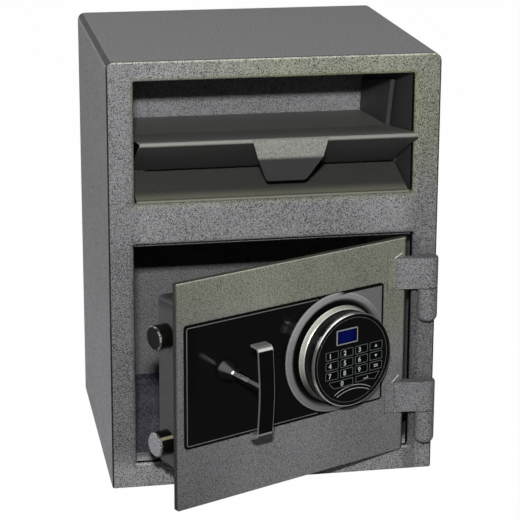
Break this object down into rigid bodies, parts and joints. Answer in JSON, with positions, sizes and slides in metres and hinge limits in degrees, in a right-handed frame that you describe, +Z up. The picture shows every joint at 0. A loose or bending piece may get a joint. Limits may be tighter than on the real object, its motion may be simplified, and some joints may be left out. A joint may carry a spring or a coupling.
{
  "type": "drop safe with deposit drawer",
  "caption": "Steel drop safe with a turning deposit tray above a hinged door with sliding bolts, a round keypad lock and a pull handle.",
  "frame": {"origin": "centre of the cabinet's underside, without the door and handle", "axes": "+X to the viewer's right, where the hinges are; +Y from the door to the back; +Z up"},
  "size_m": [0.35, 0.4837, 0.462],
  "materials": {
    "hammertone": "hammertone grey paint",
    "smooth_grey": "smooth dark grey paint",
    "carpet": "short pile",
    "steel": "plain zinc plated",
    "gloss_black": "gloss",
    "satin_silver": "satin silver",
    "chrome": "polished",
    "brass": "plain",
    "display": "gloss"
  },
  "bodies": {
    "cabinet": {"body_wrap": "hammertone", "front_frame": "hammertone", "back_panel": "hammertone", "base_plate": "hammertone", "stop_bottom": "hammertone", "stop_top": "hammertone", "floor_mat": "carpet", "hinge_barrel_lower": "hammertone", "hinge_pin_lower": "steel", "hinge_barrel_upper": "hammertone", "hinge_pin_upper": "steel", "hopper_side_right": "smooth_grey", "hopper_side_left": "smooth_grey", "hopper_sill": "smooth_grey", "hopper_baffle": "hammertone", "axle_bush_right": "smooth_grey", "axle_bush_left": "smooth_grey"},
    "door": {"door_plate": "hammertone", "door_pan": "hammertone", "fascia_plate": "gloss_black", "hinge_leaf_lower": "hammertone", "hinge_leaf_upper": "hammertone", "lock_escutcheon": "satin_silver", "lock_skirt": "satin_silver", "lock_housing": "gloss_black", "lock_bezel": "chrome", "lock_face": "gloss_black", "display_module": "satin_silver", "display_window": "display", "battery_cover": "gloss_black", "spindle_bush": "brass", "bolt_guide_lower": "steel", "bolt_guide_upper": "steel", "lock_case": "steel"},
    "handle": {"handle_stem": "chrome", "handle_grip": "chrome", "handle_cam": "steel"},
    "bolts": {"bolt_lower": "steel", "bolt_upper": "steel", "bolt_carrier": "steel"},
    "tray": {"deposit_tray": "smooth_grey", "tray_cheek_right": "smooth_grey", "tray_cheek_left": "smooth_grey", "pull_tab": "smooth_grey", "tray_axle": "steel", "stop_arm": "steel"},
    "key_1": {"key_1": "gloss_black"},
    "key_2": {"key_2": "gloss_black"},
    "key_3": {"key_3": "gloss_black"},
    "key_up": {"key_up": "gloss_black"},
    "key_4": {"key_4": "gloss_black"},
    "key_5": {"key_5": "gloss_black"},
    "key_6": {"key_6": "gloss_black"},
    "key_down": {"key_down": "gloss_black"},
    "key_7": {"key_7": "gloss_black"},
    "key_8": {"key_8": "gloss_black"},
    "key_9": {"key_9": "gloss_black"},
    "key_menu": {"key_menu": "gloss_black"},
    "key_0": {"key_0": "gloss_black"},
    "key_enter": {"key_enter": "gloss_black"}
  },
  "joints": [
    {"name": "door_swing", "type": "hinge", "parent": "cabinet", "child": "door", "pos_m": [0.1635, -0.166, 0.15], "axis": [0, 0, 1], "range_deg": [-17, 95]},
    {"name": "handle_turn", "type": "hinge", "parent": "door", "child": "handle", "pos_m": [-0.06993, -0.26051, 0.1665], "axis": [-0.4226, 0.9063, 0], "range_deg": [0, 90]},
    {"name": "bolt_draw", "type": "slide", "parent": "door", "child": "bolts", "axis": [0.9063, 0.4226, 0], "range_m": [0, 0.015]},
    {"name": "tray_turn", "type": "hinge", "parent": "cabinet", "child": "tray", "pos_m": [0, -0.0753, 0.3351], "axis": [-1, 0, 0], "range_deg": [0, 60]},
    {"name": "key_1_press", "type": "slide", "parent": "door", "child": "key_1", "axis": [-0.4226, 0.9063, 0], "range_m": [0, 0.001], "stiffness_N_per_m": 600, "springref_m": -0.0005},
    {"name": "key_2_press", "type": "slide", "parent": "door", "child": "key_2", "axis": [-0.4226, 0.9063, 0], "range_m": [0, 0.001], "stiffness_N_per_m": 600, "springref_m": -0.0005},
    {"name": "key_3_press", "type": "slide", "parent": "door", "child": "key_3", "axis": [-0.4226, 0.9063, 0], "range_m": [0, 0.001], "stiffness_N_per_m": 600, "springref_m": -0.0005},
    {"name": "key_up_press", "type": "slide", "parent": "door", "child": "key_up", "axis": [-0.4226, 0.9063, 0], "range_m": [0, 0.001], "stiffness_N_per_m": 600, "springref_m": -0.0005},
    {"name": "key_4_press", "type": "slide", "parent": "door", "child": "key_4", "axis": [-0.4226, 0.9063, 0], "range_m": [0, 0.001], "stiffness_N_per_m": 600, "springref_m": -0.0005},
    {"name": "key_5_press", "type": "slide", "parent": "door", "child": "key_5", "axis": [-0.4226, 0.9063, 0], "range_m": [0, 0.001], "stiffness_N_per_m": 600, "springref_m": -0.0005},
    {"name": "key_6_press", "type": "slide", "parent": "door", "child": "key_6", "axis": [-0.4226, 0.9063, 0], "range_m": [0, 0.001], "stiffness_N_per_m": 600, "springref_m": -0.0005},
    {"name": "key_down_press", "type": "slide", "parent": "door", "child": "key_down", "axis": [-0.4226, 0.9063, 0], "range_m": [0, 0.001], "stiffness_N_per_m": 600, "springref_m": -0.0005},
    {"name": "key_7_press", "type": "slide", "parent": "door", "child": "key_7", "axis": [-0.4226, 0.9063, 0], "range_m": [0, 0.001], "stiffness_N_per_m": 600, "springref_m": -0.0005},
    {"name": "key_8_press", "type": "slide", "parent": "door", "child": "key_8", "axis": [-0.4226, 0.9063, 0], "range_m": [0, 0.001], "stiffness_N_per_m": 600, "springref_m": -0.0005},
    {"name": "key_9_press", "type": "slide", "parent": "door", "child": "key_9", "axis": [-0.4226, 0.9063, 0], "range_m": [0, 0.001], "stiffness_N_per_m": 600, "springref_m": -0.0005},
    {"name": "key_menu_press", "type": "slide", "parent": "door", "child": "key_menu", "axis": [-0.4226, 0.9063, 0], "range_m": [0, 0.001], "stiffness_N_per_m": 600, "springref_m": -0.0005},
    {"name": "key_0_press", "type": "slide", "parent": "door", "child": "key_0", "axis": [-0.4226, 0.9063, 0], "range_m": [0, 0.001], "stiffness_N_per_m": 600, "springref_m": -0.0005},
    {"name": "key_enter_press", "type": "slide", "parent": "door", "child": "key_enter", "axis": [-0.4226, 0.9063, 0], "range_m": [0, 0.001], "stiffness_N_per_m": 600, "springref_m": -0.0005}
  ],
  "couplings": [
    {"joint": "handle_turn", "follows": "bolt_draw", "rad_per_m": 104.72}
  ]
}
